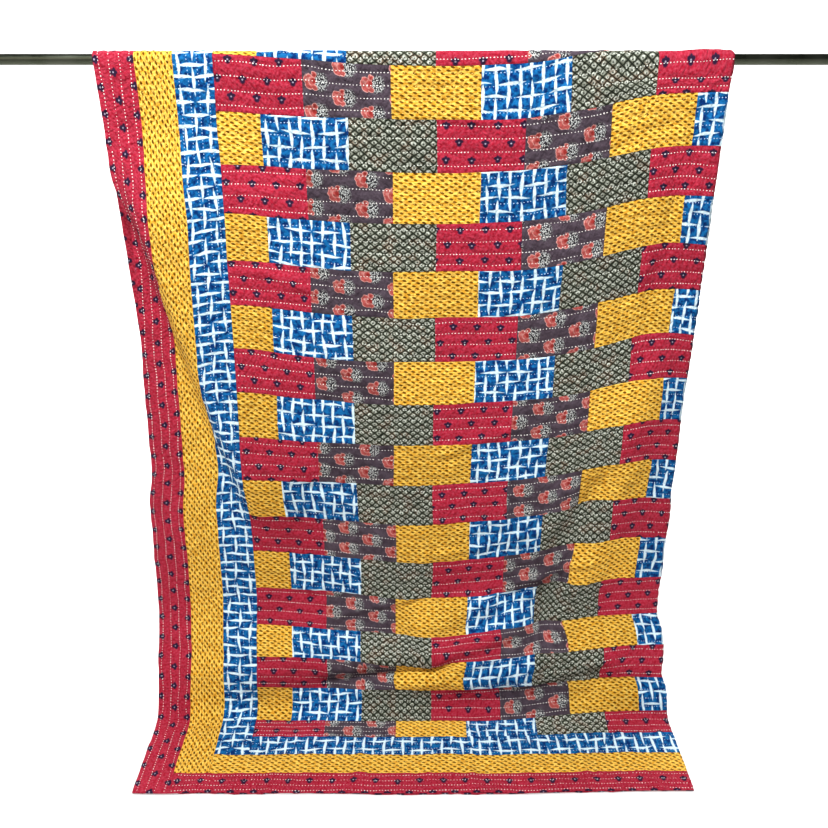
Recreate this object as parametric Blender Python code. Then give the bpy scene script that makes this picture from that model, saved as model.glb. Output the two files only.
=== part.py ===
"""A patchwork quilt, folded in half lengthwise and hung over a metal rod, its foot lying on the floor.

Metres, +Z up. The origin is on the rod's axis at the middle of its length, X runs along the rod,
and -Y is the side where the quilt's long fall reaches the floor.

Every panel is cut flat, with x across the quilt from its left edge and y along it from the foot
hem, and is then carried onto the shape in which the quilt hangs.
"""

import math

import bmesh
import bpy
import numpy as np

# The quilt laid flat
HALF_WIDTH = 1.170
STRIP_WIDTH = 0.074
HEM_STRIP_WIDTH = 0.0515
PATCH_ROW_HEIGHT = 0.0940
PATCH_ROWS = 23
LOW_ROW_HEIGHT = 0.076
LOW_ROWS = 3
FOOT_ROW_HEIGHT = 0.050
THICKNESS = 0.0018
SEAM_GAP = 0.0003
SEAM_DIP = 0.0004

# The lengthwise fold
LAYER_GAP = 0.0012
LAYER_OFFSET = (THICKNESS + LAYER_GAP) / 2

# The rod
ROD_RADIUS = 0.0095
ROD_LENGTH = 1.60
ROD_CLEARANCE = 0.0021
ROD_END_BEVEL = 0.001

# How the quilt hangs: path distances run down the long fall from the crest, the cloth's highest line
SEAM_BELOW_CREST = 0.019
BEND_RADIUS = ROD_RADIUS + ROD_CLEARANCE + THICKNESS + LAYER_GAP / 2
QUARTER_BEND = BEND_RADIUS * math.pi / 2
PATH_STEP = 0.001
LEAN = math.radians(27)

# Where the innermost side seam hangs, and how far the cloth is spread there, at the rod and at the foot
SIDE_SEAM_AT_ROD = -0.361
SIDE_SEAM_AT_FOOT = -0.373
SPREAD_AT_ROD = 0.975
SPREAD_AT_FOOT = 1.017

# Where the left edge is drawn in, or with a negative pull stands out: row seam, reach along, pull
EDGE_PULLS = (
    (2.6, 0.30, 0.011),
    (13.2, 0.26, -0.011),
)
EDGE_PULL_WIDTH = 0.24

# The rows sag in the middle and climb towards the fold
SAG = 0.008
SAG_CENTRE = 0.66
SAG_REACH = 0.44
LIFT = 0.034
LIFT_AT_FOOT = 0.021
LIFT_AT_HEM = 0.007
LIFT_START = 0.76
LIFT_REACH = 0.33

# Soft folds of the long fall, each along a line from one place to another: the fold's height, the
# widths of its steep and its gentle flank, and the two places as distance across and row seam
# height  steep  gentle across0 row0 across1 row1
FOLDS = (
    (0.044, 0.072, 0.260, 0.010, 1.1, 0.290, 10.8),
    (0.016, 0.090, 0.110, 1.110, 5.5, 0.930, 13.6),
    (-0.020, 0.060, 0.060, 1.020, 8.5, 0.860, 14.4),
    (0.016, 0.070, 0.070, 0.800, 12.2, 0.560, 13.2),
    (-0.020, 0.035, 0.045, 0.700, 14.2, 0.330, 14.9),
    (0.012, 0.060, 0.050, 0.640, 15.0, 0.900, 14.6),
    (-0.012, 0.050, 0.050, 1.170, 15.2, 0.980, 15.0),
)
FOLD_END = 0.22

# Long waves of the two falls
WAVE_HEIGHT = 0.007
WAVE_LENGTH = 0.43
BACK_WAVE_HEIGHT = 0.012
BACK_WAVE_LENGTH = 0.37

# Cells across: each side strip, one layer of the panel, and the turn of the lengthwise fold
STRIP_CELLS = 2
PANEL_CELLS = 13
TURN_CELLS = 4
BEND_CELLS = 6

# Spacing of the tables from which positions are read
TABLE_STEP = 0.005

COLOURS = {
    "red": (0.50, 0.035, 0.065),
    "yellow": (0.78, 0.47, 0.07),
    "blue": (0.10, 0.23, 0.53),
    "panel": (0.34, 0.20, 0.16),
    "rod": (0.52, 0.53, 0.52),
}


def smooth(value):
    """Rises softly from 0 to 1 as the value goes from 0 to 1."""
    value = np.clip(value, 0.0, 1.0)
    return value * value * (3.0 - 2.0 * value)


def row_seams():
    """Distances of the row seams from the foot hem, the lowest first."""
    seams = [3 * HEM_STRIP_WIDTH]
    seams.append(seams[-1] + FOOT_ROW_HEIGHT)
    for _ in range(LOW_ROWS):
        seams.append(seams[-1] + LOW_ROW_HEIGHT)
    for _ in range(PATCH_ROWS):
        seams.append(seams[-1] + PATCH_ROW_HEIGHT)
    return seams


SEAMS = row_seams()
QUILT_LENGTH = SEAMS[-1] + 3 * HEM_STRIP_WIDTH
FRONT_ROWS = 17
CREST = SEAMS[FRONT_ROWS] + SEAM_BELOW_CREST
TURN_LENGTH = math.pi * LAYER_OFFSET
TURN_START = HALF_WIDTH - TURN_LENGTH / 2
SIDE_SEAM = 3 * STRIP_WIDTH


def seam_distance(row):
    """Distance from the foot hem of a row seam, numbered from 0 at the rod to 17 at the foot."""
    return np.interp(FRONT_ROWS - np.asarray(row), np.arange(len(SEAMS)), SEAMS)


def below_crest(row):
    return float(CREST - seam_distance(row))


def heading(path):
    """Direction of the cloth's path: 90 degrees is up, 0 is towards -Y and -90 is down."""
    over_rod = -math.pi / 2 * np.clip(path / QUARTER_BEND, -1.0, 1.0)
    lean_start, lean_end = below_crest(11.9), below_crest(13.6)
    floor_start, floor_end = below_crest(15.6), below_crest(16.4)
    lean = LEAN * smooth((path - lean_start) / (lean_end - lean_start))
    onto_floor = (math.pi / 2 - LEAN) * smooth((path - floor_start) / (floor_end - floor_start))
    return over_rod + lean + onto_floor


def side_view():
    """Tables of the path's distance, forward reach, height and heading, the top of the rod at 0."""
    low = -(QUILT_LENGTH - CREST) - 0.1
    high = CREST + 0.1
    path = np.arange(round(low / PATH_STEP), round(high / PATH_STEP) + 1) * PATH_STEP
    turn = heading(path)
    forward = np.concatenate([[0.0], np.cumsum(np.cos(heading(path[:-1] + PATH_STEP / 2)) * PATH_STEP)])
    height = np.concatenate([[0.0], np.cumsum(np.sin(heading(path[:-1] + PATH_STEP / 2)) * PATH_STEP)])
    top = int(np.argmin(np.abs(path)))
    return path, forward - forward[top], height - height[top] + BEND_RADIUS, turn


def soft_fold(across, along, fold):
    """One fold along a line, steep on its left side and gentle on its right."""
    size, steep, gentle, across0, row0, across1, row1 = fold
    along0, along1 = float(seam_distance(row0)), float(seam_distance(row1))
    run = math.hypot(across1 - across0, along1 - along0)
    unit = ((across1 - across0) / run, (along1 - along0) / run)
    share = ((across - across0) * unit[0] + (along - along0) * unit[1]) / run
    side = (across - across0) * -unit[1] + (along - along0) * unit[0]
    ends = smooth(share / FOLD_END) * smooth((1.0 - share) / FOLD_END)
    left = smooth(1.0 + side / steep)
    right = smooth(1.0 - side / gentle)
    return size * ends * np.where(side < 0.0, left, right)


def relief(across, along):
    """Height of the folds and waves above the plain path, outwards."""
    path = CREST - along
    folds = sum(soft_fold(across, along, fold) for fold in FOLDS)
    wave = WAVE_HEIGHT * np.sin(2 * math.pi * (across - 0.12) / WAVE_LENGTH + 1.5 * along)
    folds = folds + wave * smooth(path / 0.8)
    floor_fade = smooth((below_crest(15.9) - path) / (below_crest(15.9) - below_crest(14.9)))
    front = folds * smooth((path - 0.04) / 0.16) * floor_fade
    back_wave = BACK_WAVE_HEIGHT * (1.0 + np.sin(2 * math.pi * across / BACK_WAVE_LENGTH + along))
    back = back_wave * smooth((-path - 0.05) / 0.5)
    return np.where(path > 0.0, front, back)


def slip(across, along):
    """How far the cloth has slipped down its path, clear of the rod's bend."""
    path = CREST - along
    sag = SAG * np.exp(-(((across - SAG_CENTRE) / SAG_REACH) ** 2) * 2.0)
    sag = sag * (1.0 - smooth((path - below_crest(13.0)) / (below_crest(16.0) - below_crest(13.0))))
    foot = smooth((path - below_crest(10.0)) / (below_crest(12.5) - below_crest(10.0)))
    hem = smooth((path - below_crest(16.0)) / (below_crest(17.0) + HEM_STRIP_WIDTH - below_crest(16.0)))
    lift = LIFT + (LIFT_AT_FOOT - LIFT) * foot + (LIFT_AT_HEM - LIFT_AT_FOOT) * hem
    lift = lift * smooth((across - LIFT_START) / LIFT_REACH)
    return (sag - lift) * smooth((path - 0.03) / 0.09)


def hanging_tables():
    """Positions of the fold's middle surface, and the directions that point out of it, on a fine grid."""
    across = np.arange(round(HALF_WIDTH / TABLE_STEP) + 5) * TABLE_STEP
    along = np.arange(math.ceil(QUILT_LENGTH / TABLE_STEP) + 1) * TABLE_STEP
    a, s = np.meshgrid(across, along, indexing="ij")
    path, forward, height, turn = side_view()
    place = CREST - s + slip(a, s)
    rise = relief(a, s)
    bearing = np.interp(place, path, turn)
    y = -np.interp(place, path, forward) + np.sin(bearing) * rise
    z = np.interp(place, path, height) + np.cos(bearing) * rise
    slope = np.gradient(rise, TABLE_STEP, axis=0)
    fall = smooth((CREST - s) / CREST)
    spread = SPREAD_AT_ROD + (SPREAD_AT_FOOT - SPREAD_AT_ROD) * fall
    step = np.sqrt(1.0 - np.clip(slope, -0.95, 0.95) ** 2) * spread * TABLE_STEP
    x = np.cumsum(step, axis=0) - step / 2
    seam_cell = round(SIDE_SEAM / TABLE_STEP)
    x = x - x[seam_cell : seam_cell + 1] + (SIDE_SEAM - seam_cell * TABLE_STEP)
    x = x + SIDE_SEAM_AT_ROD + (SIDE_SEAM_AT_FOOT - SIDE_SEAM_AT_ROD) * fall
    for row, reach, pull in EDGE_PULLS:
        near = np.exp(-(((s - seam_distance(row)) / reach) ** 2))
        x = x + pull * near * (1.0 - smooth(a / EDGE_PULL_WIDTH))
    points = np.stack([x, y, z], axis=-1)
    out = np.cross(np.gradient(points, axis=0), np.gradient(points, axis=1))
    return points, out / np.linalg.norm(out, axis=-1, keepdims=True)


POINTS, OUTWARD = hanging_tables()


def read_table(table, across, along):
    """The table's value between its grid points."""
    i = np.clip(across / TABLE_STEP, 0, table.shape[0] - 1.001)
    j = np.clip(along / TABLE_STEP, 0, table.shape[1] - 1.001)
    i0, j0 = i.astype(int), j.astype(int)
    u, v = (i - i0)[:, None], (j - j0)[:, None]
    low = table[i0, j0] * (1 - v) + table[i0, j0 + 1] * v
    high = table[i0 + 1, j0] * (1 - v) + table[i0 + 1, j0 + 1] * v
    return low * (1 - u) + high * u


def drape(across, along, lift):
    """Carries flat points onto the hung quilt; lift is the distance from the cloth's middle."""
    angle = np.clip((across - TURN_START) / LAYER_OFFSET, 0.0, math.pi)
    beyond = np.clip(across - TURN_START - TURN_LENGTH, 0.0, None)
    flat = np.minimum(across, TURN_START) - beyond + (LAYER_OFFSET + lift) * np.sin(angle)
    offset = (LAYER_OFFSET + lift) * np.cos(angle)
    outward = read_table(OUTWARD, flat, along)
    outward /= np.linalg.norm(outward, axis=1, keepdims=True)
    return read_table(POINTS, flat, along) + outward * offset[:, None]


def stations_across():
    """Where the panels have vertices across the quilt, the same on both layers."""
    strips = [STRIP_WIDTH * i / STRIP_CELLS for i in range(3 * STRIP_CELLS)]
    panel = [SIDE_SEAM + (TURN_START - SIDE_SEAM) * i / PANEL_CELLS for i in range(PANEL_CELLS + 1)]
    half = strips + panel
    turn = [TURN_START + TURN_LENGTH * i / TURN_CELLS for i in range(1, TURN_CELLS)]
    return half + turn + [2 * HALF_WIDTH - across for across in reversed(half)]


def stations_along():
    """Where the panels have vertices along the quilt, and how deep the quilting draws them in."""
    stations = [(HEM_STRIP_WIDTH * i, 0.0) for i in range(3)]
    stations.append((SEAMS[0], 0.0))
    bend = [(CREST + QUARTER_BEND * (2 * i / BEND_CELLS - 1), 0.0) for i in range(BEND_CELLS + 1)]
    for row in range(FRONT_ROWS):
        low, high = SEAMS[row], SEAMS[row + 1]
        if row == FRONT_ROWS - 1:
            high = bend[0][0]
        stations.append(((low + high) / 2, 0.0))
        if row < FRONT_ROWS - 1:
            stations.append((high, SEAM_DIP if row > 0 else 0.0))
    stations.extend(bend)
    stations.extend((seam, 0.0) for seam in SEAMS[FRONT_ROWS + 1 :])
    stations.extend((QUILT_LENGTH - HEM_STRIP_WIDTH * (2 - i), 0.0) for i in range(3))
    return stations


def cut(stations, low, high):
    """The stations that lie within a panel's span, its two ends included."""
    return [place for place in stations if low - 1e-6 <= place <= high + 1e-6]


def draw_in(places, low, high, limit):
    """Moves the end places by half a seam gap, but not those on the quilt's own edge."""
    places = np.array(places)
    if low > 1e-6:
        places[0] += SEAM_GAP / 2
    if high < limit - 1e-6:
        places[-1] -= SEAM_GAP / 2
    return places


def split_quads(bm):
    """Splits every face along a diagonal that its neighbours on the other layer and panel share."""
    for face in list(bm.faces):
        side = 1.0 if face.calc_center_median().x < HALF_WIDTH else -1.0
        corners = sorted(face.verts, key=lambda vert: side * vert.co.x + vert.co.y + vert.co.z)
        bmesh.utils.face_split(face, corners[0], corners[-1])


def new_panel(name, span_across, span_along, colour, collection):
    """One cut panel, from its span across and its span along the flat quilt."""
    width = 2 * HALF_WIDTH
    columns = cut(ACROSS, *span_across)
    rows = cut([place for place, _ in ALONG], *span_along)
    dips = np.array([dip for place, dip in ALONG if place in rows])
    columns = draw_in(columns, *span_across, width)
    rows = draw_in(rows, *span_along, QUILT_LENGTH)

    # A flat grid with one vertex for each station
    bm = bmesh.new()
    bmesh.ops.create_grid(bm, x_segments=len(columns) - 1, y_segments=len(rows) - 1, size=0.5)
    for vert in bm.verts:
        i = round((vert.co.x + 0.5) * (len(columns) - 1))
        j = round((vert.co.y + 0.5) * (len(rows) - 1))
        vert.co = (columns[i], rows[j], 0.0)

    # The thickness
    cover = bmesh.ops.extrude_face_region(bm, geom=bm.faces[:])
    for vert in cover["geom"]:
        if isinstance(vert, bmesh.types.BMVert):
            vert.co.z = 1.0
    bmesh.ops.recalc_face_normals(bm, faces=bm.faces[:])
    split_quads(bm)

    # Onto the hung shape
    flat = np.array([vert.co[:] for vert in bm.verts])
    dip = np.interp(flat[:, 1], rows, dips)
    lift = (flat[:, 2] * 2 - 1) * (THICKNESS / 2 - dip)
    for vert, place in zip(bm.verts, drape(flat[:, 0], flat[:, 1], lift)):
        vert.co = place
    mesh = bpy.data.meshes.new(name)
    bm.to_mesh(mesh)
    bm.free()
    mesh.shade_smooth()
    return add_object(name, mesh, colour, 0.9, 0.0, collection)


def add_object(name, mesh, colour, roughness, metallic, collection):
    material = bpy.data.materials.new(name)
    material.use_nodes = True
    shader = material.node_tree.nodes["Principled BSDF"]
    shader.inputs["Base Color"].default_value = (*colour, 1.0)
    shader.inputs["Roughness"].default_value = roughness
    shader.inputs["Metallic"].default_value = metallic
    mesh.materials.clear()
    mesh.materials.append(material)
    thing = bpy.data.objects.new(name, mesh)
    collection.objects.link(thing)
    return thing


def build_rod(collection):
    """A plain round rod along X, its two ends flat."""
    bm = bmesh.new()
    bmesh.ops.create_cone(
        bm, cap_ends=True, segments=32, radius1=ROD_RADIUS, radius2=ROD_RADIUS, depth=ROD_LENGTH
    )
    rim = [edge for edge in bm.edges if abs(edge.verts[0].co.z - edge.verts[1].co.z) < 1e-6]
    bmesh.ops.bevel(bm, geom=rim, offset=ROD_END_BEVEL, segments=2, affect="EDGES", profile=0.5)
    for vert in bm.verts:
        vert.co = (vert.co.z, vert.co.y, -vert.co.x)
    mesh = bpy.data.meshes.new("rod")
    bm.to_mesh(mesh)
    bm.free()
    mesh.shade_smooth()
    mesh.set_sharp_from_angle(angle=math.radians(40))
    add_object("rod", mesh, COLOURS["rod"], 0.3, 1.0, collection)


def build_quilt(collection):
    """The panel of patches, and three rings of border strips, the side strips running past the others."""
    width = 2 * HALF_WIDTH
    for ring, colour in enumerate(("red", "yellow", "blue")):
        side, hem = STRIP_WIDTH * ring, HEM_STRIP_WIDTH * ring
        along = (hem, QUILT_LENGTH - hem)
        new_panel(f"{colour}_strip_left", (side, side + STRIP_WIDTH), along, COLOURS[colour], collection)
        right = (width - side - STRIP_WIDTH, width - side)
        new_panel(f"{colour}_strip_right", right, along, COLOURS[colour], collection)
        across = (side + STRIP_WIDTH, width - side - STRIP_WIDTH)
        foot = (hem, hem + HEM_STRIP_WIDTH)
        new_panel(f"{colour}_strip_foot", across, foot, COLOURS[colour], collection)
        head = (QUILT_LENGTH - hem - HEM_STRIP_WIDTH, QUILT_LENGTH - hem)
        new_panel(f"{colour}_strip_head", across, head, COLOURS[colour], collection)
    across = (SIDE_SEAM, width - SIDE_SEAM)
    new_panel("patchwork_panel", across, (SEAMS[0], SEAMS[-1]), COLOURS["panel"], collection)


ACROSS = stations_across()
ALONG = stations_along()


def main():
    for thing in list(bpy.data.objects):
        bpy.data.objects.remove(thing, do_unlink=True)
    collection = bpy.data.collections.new("patchwork_quilt_on_rod")
    bpy.context.scene.collection.children.link(collection)
    build_rod(collection)
    build_quilt(collection)


main()
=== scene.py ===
# Patchwork quilt, folded lengthwise over a metal rod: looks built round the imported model
import math

import bpy
import numpy as np
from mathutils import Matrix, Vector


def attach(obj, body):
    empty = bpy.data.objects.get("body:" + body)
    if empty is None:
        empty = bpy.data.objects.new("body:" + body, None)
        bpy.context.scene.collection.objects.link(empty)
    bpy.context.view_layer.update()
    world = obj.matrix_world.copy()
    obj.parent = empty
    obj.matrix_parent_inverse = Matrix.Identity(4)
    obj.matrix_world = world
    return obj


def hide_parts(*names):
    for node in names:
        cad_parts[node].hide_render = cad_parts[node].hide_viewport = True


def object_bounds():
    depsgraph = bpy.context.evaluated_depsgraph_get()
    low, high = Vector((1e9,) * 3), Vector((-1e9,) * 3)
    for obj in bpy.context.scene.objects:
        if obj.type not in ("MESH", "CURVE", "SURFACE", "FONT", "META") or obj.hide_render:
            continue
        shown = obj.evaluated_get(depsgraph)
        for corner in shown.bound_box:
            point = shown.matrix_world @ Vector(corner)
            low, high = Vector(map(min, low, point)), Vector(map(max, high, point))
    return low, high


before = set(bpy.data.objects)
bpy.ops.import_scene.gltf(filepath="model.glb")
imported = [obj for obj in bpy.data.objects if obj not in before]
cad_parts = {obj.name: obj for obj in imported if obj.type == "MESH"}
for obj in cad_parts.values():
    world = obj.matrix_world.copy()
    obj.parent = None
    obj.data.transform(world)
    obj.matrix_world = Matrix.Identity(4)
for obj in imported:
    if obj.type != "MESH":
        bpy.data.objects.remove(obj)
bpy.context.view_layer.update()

# The camera stands in front of the rod and looks down at the quilt
view = {"place": (0.0, -1.604, 0.0342), "tiltDown": 24.4, "lens": 36.0, "sensor": 36.0}


def added(name, data):
    # a new object in the scene, at the origin
    thing = bpy.data.objects.new(name, data)
    bpy.context.scene.collection.objects.link(thing)
    return thing


cameraData = bpy.data.cameras.new("photoCamera")
cameraData.lens = view["lens"]
cameraData.sensor_width = view["sensor"]
cameraData.clip_start = 0.01
photoCamera = added("photoCamera", cameraData)
photoCamera.location = view["place"]
photoCamera.rotation_euler = (math.radians(90.0 - view["tiltDown"]), 0.0, 0.0)
bpy.context.scene.camera = photoCamera
print("camera stands at", view["place"])

# The quilt laid flat, in metres: across from its left edge, along from its foot hem
quilt = {
    "halfWidth": 1.170,
    "stripWidth": 0.074,
    "hemStripWidth": 0.0515,
    "patchWidth": 0.1602,
    "rowHeights": [0.050] + [0.076] * 3 + [0.0940] * 23,
    "rowsInFront": 17,
    "thickness": 0.0018,
    "seamGap": 0.0003,
    "layerOffset": 0.0015,
}
rowSeams = 3 * quilt["hemStripWidth"] + np.concatenate([[0.0], np.cumsum(quilt["rowHeights"])])
sideSeam = 3 * quilt["stripWidth"]
quiltWidth = 2 * quilt["halfWidth"]
quiltLength = rowSeams[-1] + 3 * quilt["hemStripWidth"]
turnLength = math.pi * quilt["layerOffset"]
turnStart = quilt["halfWidth"] - turnLength / 2

# How it hangs, as its solids do: the same falls, bend, folds and slip. Rows are seam numbers from the rod
# down, and a pair named From or Reach is where a soft step starts and how far it takes
hang = {
    "crest": rowSeams[quilt["rowsInFront"]] + 0.019,
    "bendRadius": 0.0140,
    "pathStep": 0.001,
    "lean": math.radians(27),
    "leanRows": (11.9, 13.6),
    "floorRows": (15.6, 16.4),
    "seamAtRod": -0.361,
    "seamAtFoot": -0.373,
    "spreadAtRod": 0.975,
    "spreadAtFoot": 1.017,
    "edgePulls": ((2.6, 0.30, 0.011), (13.2, 0.26, -0.011)),
    "edgePullWidth": 0.24,
    "sag": 0.008,
    "sagCentre": 0.66,
    "sagReach": 0.44,
    "sagSharpness": 2.0,
    "sagFadeRows": (13.0, 16.0),
    "lift": 0.034,
    "liftAtFoot": 0.021,
    "liftAtHem": 0.007,
    "liftStart": 0.76,
    "liftReach": 0.33,
    "liftFootRows": (10.0, 12.5),
    "liftHemRows": (16.0, 18.0),
    "waveHeight": 0.007,
    "waveLength": 0.43,
    "waveStart": 0.12,
    "waveSlant": 1.5,
    "waveGrowth": 0.8,
    "backWaveHeight": 0.012,
    "backWaveLength": 0.37,
    "backWaveFrom": (0.05, 0.5),
    "foldEnd": 0.22,
    "foldsFrom": (0.04, 0.16),
    "foldFadeRows": (15.9, 14.9),
    "creasesFrom": (0.02, 0.1),
    "rodReach": (0.03, 0.09),
    "behindReach": (0.1, 0.8),
    "steepest": 0.95,
    "tableStep": 0.005,
    "spareSteps": 5,
}
# Large folds: height, steep width, gentle width, then from and to as distance across and row seam
largeFolds = (
    (0.044, 0.072, 0.260, 0.010, 1.1, 0.290, 10.8),
    (0.016, 0.090, 0.110, 1.110, 5.5, 0.930, 13.6),
    (-0.020, 0.060, 0.060, 1.020, 8.5, 0.860, 14.4),
    (0.016, 0.070, 0.070, 0.800, 12.2, 0.560, 13.2),
    (-0.020, 0.035, 0.045, 0.700, 14.2, 0.330, 14.9),
    (0.012, 0.060, 0.050, 0.640, 15.0, 0.900, 14.6),
    (-0.012, 0.050, 0.050, 1.170, 15.2, 0.980, 15.0),
)
# Creases that the solids leave out, in the same form
creases = (
    (-0.0035, 0.020, 0.030, -0.020, 13.7, 0.300, 14.4),
    (0.0030, 0.016, 0.020, 0.020, 2.2, 0.160, 4.2),
    (0.0030, 0.014, 0.018, 0.010, 5.0, 0.090, 6.4),
    (0.0028, 0.014, 0.018, 0.030, 8.2, 0.200, 9.4),
    (-0.0025, 0.016, 0.020, 0.300, 9.0, 0.640, 9.7),
    (0.0030, 0.018, 0.022, 0.560, 11.2, 0.900, 10.4),
    (-0.0025, 0.014, 0.018, 0.250, 12.0, 0.470, 12.6),
    (0.0030, 0.016, 0.020, 0.300, 13.6, 0.560, 14.1),
    (-0.0025, 0.016, 0.020, 0.930, 2.0, 1.160, 1.2),
    (0.0026, 0.016, 0.022, 0.500, 0.7, 0.860, 1.3),
    (-0.0022, 0.016, 0.020, 0.240, 0.5, 0.480, 1.1),
    (0.0032, 0.010, 0.012, 0.715, 15.9, 0.705, 20.5),
    (0.0026, 0.010, 0.014, 0.480, 16.4, 0.455, 20.5),
    (0.0026, 0.010, 0.014, 0.940, 16.3, 0.960, 20.4),
    (0.0024, 0.012, 0.014, 0.180, 16.5, 0.130, 20.2),
    (0.0135, 0.031, 0.060, 0.560, 14.25, 0.880, 12.95),
    (0.0060, 0.026, 0.050, 0.560, 15.25, 0.790, 13.85),
    (0.0030, 0.034, 0.070, 0.320, 14.95, 0.600, 13.60),
    (-0.0055, 0.034, 0.040, 1.045, 8.7, 0.850, 11.8),
    (-0.0045, 0.030, 0.034, 1.105, 1.8, 1.045, 7.8),
    (0.0070, 0.018, 0.040, 0.760, 12.2, 1.020, 11.3),
    (0.0060, 0.016, 0.034, 0.380, 12.9, 0.640, 12.0),
    (0.0065, 0.016, 0.034, 0.820, 15.2, 1.060, 14.3),
    (0.0040, 0.014, 0.030, 0.240, 3.9, 0.420, 4.6),
    (0.0040, 0.014, 0.030, 0.620, 8.4, 0.860, 7.5),
    (0.0040, 0.014, 0.030, 0.420, 6.1, 0.560, 6.9),
    (0.0120, 0.105, 0.200, 0.040, 14.1, 1.150, 13.9),
    (-0.0130, 0.055, 0.080, 0.020, 15.50, 1.130, 15.40),
)


def rise01(value):
    # soft step: 3 v squared less 2 v cubed, between 0 and 1
    value = np.clip(value, 0.0, 1.0)
    return value * value * (3.0 - 2.0 * value)


def seamAlong(row):
    # distance from the foot hem of a row seam, 0 at the rod and 17 at the foot, 20 the hem itself
    places = np.concatenate([[0.0], rowSeams])
    numbers = np.concatenate([[-3.0], np.arange(len(rowSeams), dtype=float)])
    return np.interp(quilt["rowsInFront"] - np.asarray(row, dtype=float), numbers, places)


def belowCrest(row):
    # the crest's distance from the foot hem less the seam's
    return float(hang["crest"] - seamAlong(row))


def rowStep(path, rows):
    # soft step while the path goes from one row seam to another
    first, last = belowCrest(rows[0]), belowCrest(rows[1])
    return rise01((path - first) / (last - first))


def stepFrom(path, startAndReach):
    # soft step that starts at a distance and takes up a reach
    start, reach = startAndReach
    return rise01((path - start) / reach)


latticeSize = 64


def cloudSource(seed):
    # even random numbers from -1 to 1 on a square lattice
    return np.random.default_rng(seed).uniform(-1.0, 1.0, (latticeSize, latticeSize))


def cloud(table, x, y):
    # smooth noise: the four lattice numbers round a place blended by soft steps, one cell to each unit
    ix, iy = np.floor(x).astype(int), np.floor(y).astype(int)
    u, v = rise01(x - ix), rise01(y - iy)
    ix, iy = ix % latticeSize, iy % latticeSize
    jx, jy = (ix + 1) % latticeSize, (iy + 1) % latticeSize
    low = table[ix, iy] * (1 - v) + table[ix, jy] * v
    high = table[jx, iy] * (1 - v) + table[jx, jy] * v
    return low * (1 - u) + high * u


def heading(path):
    # direction of the cloth's path: a turn over the rod, a lean at the foot, then flat on the floor
    quarter = hang["bendRadius"] * math.pi / 2
    turn = -math.pi / 2 * np.clip(path / quarter, -1.0, 1.0)
    turn = turn + hang["lean"] * rowStep(path, hang["leanRows"])
    return turn + (math.pi / 2 - hang["lean"]) * rowStep(path, hang["floorRows"])


def sideView():
    # running sums of the heading's cosine and sine, zero at the crest
    step = hang["pathStep"]
    spare = 0.1
    low, high = -(quiltLength - hang["crest"]) - spare, hang["crest"] + spare
    path = np.arange(round(low / step), round(high / step) + 1) * step
    turn = heading(path[:-1] + step / 2)
    forward = np.concatenate([[0.0], np.cumsum(np.cos(turn) * step)])
    height = np.concatenate([[0.0], np.cumsum(np.sin(turn) * step)])
    top = int(np.argmin(np.abs(path)))
    return path, forward - forward[top], height - height[top] + hang["bendRadius"], heading(path)


sidePath, sideForward, sideHeight, sideTurn = sideView()


def softFold(across, along, fold):
    # height times a soft end at both ends, times a steep flank on the left and a gentle one on the right
    size, steep, gentle, across0, row0, across1, row1 = fold
    along0, along1 = float(seamAlong(row0)), float(seamAlong(row1))
    run = math.hypot(across1 - across0, along1 - along0)
    ux, uy = (across1 - across0) / run, (along1 - along0) / run
    share = ((across - across0) * ux + (along - along0) * uy) / run
    side = (across - across0) * -uy + (along - along0) * ux
    ends = rise01(share / hang["foldEnd"]) * rise01((1.0 - share) / hang["foldEnd"])
    flank = np.where(side < 0.0, rise01(1.0 + side / steep), rise01(1.0 - side / gentle))
    return size * ends * flank


def relief(across, along):
    # folds and waves above the plain path, faded at the rod and on the floor
    path = hang["crest"] - along
    folds = sum(softFold(across, along, fold) for fold in largeFolds)
    wave = np.sin(2 * math.pi * (across - hang["waveStart"]) / hang["waveLength"] + hang["waveSlant"] * along)
    folds = folds + hang["waveHeight"] * wave * rise01(path / hang["waveGrowth"])
    front = folds * stepFrom(path, hang["foldsFrom"]) * rowStep(path, hang["foldFadeRows"])
    backWave = 1.0 + np.sin(2 * math.pi * across / hang["backWaveLength"] + along)
    behind = hang["backWaveHeight"] * backWave * stepFrom(-path, hang["backWaveFrom"])
    return np.where(path > 0.0, front, behind)


def fullSlip(across, path):
    # sag in the middle less the climb towards the lengthwise fold
    away = ((across - hang["sagCentre"]) / hang["sagReach"]) ** 2
    sag = hang["sag"] * np.exp(-away * hang["sagSharpness"]) * (1.0 - rowStep(path, hang["sagFadeRows"]))
    lift = hang["lift"] + (hang["liftAtFoot"] - hang["lift"]) * rowStep(path, hang["liftFootRows"])
    lift = lift + (hang["liftAtHem"] - hang["liftAtFoot"]) * rowStep(path, hang["liftHemRows"])
    return sag - lift * rise01((across - hang["liftStart"]) / hang["liftReach"])


def acrossTable():
    # x as the sum of steps shortened by the folds' slope and spread by the share down the fall
    step = hang["tableStep"]
    across = np.arange(round(quilt["halfWidth"] / step) + hang["spareSteps"]) * step
    along = np.arange(math.ceil(quiltLength / step) + 1) * step
    a, s = np.meshgrid(across, along, indexing="ij")
    slope = np.gradient(relief(a, s), step, axis=0)
    fall = rise01((hang["crest"] - s) / hang["crest"])
    spread = hang["spreadAtRod"] + (hang["spreadAtFoot"] - hang["spreadAtRod"]) * fall
    width = np.sqrt(1.0 - np.clip(slope, -hang["steepest"], hang["steepest"]) ** 2) * spread * step
    x = np.cumsum(width, axis=0) - width / 2
    cell = round(sideSeam / step)
    x = x - x[cell : cell + 1] + (sideSeam - cell * step)
    x = x + hang["seamAtRod"] + (hang["seamAtFoot"] - hang["seamAtRod"]) * fall
    for row, reach, pull in hang["edgePulls"]:
        near = np.exp(-(((s - seamAlong(row)) / reach) ** 2))
        x = x + pull * near * (1.0 - rise01(a / hang["edgePullWidth"]))
    return x


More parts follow.
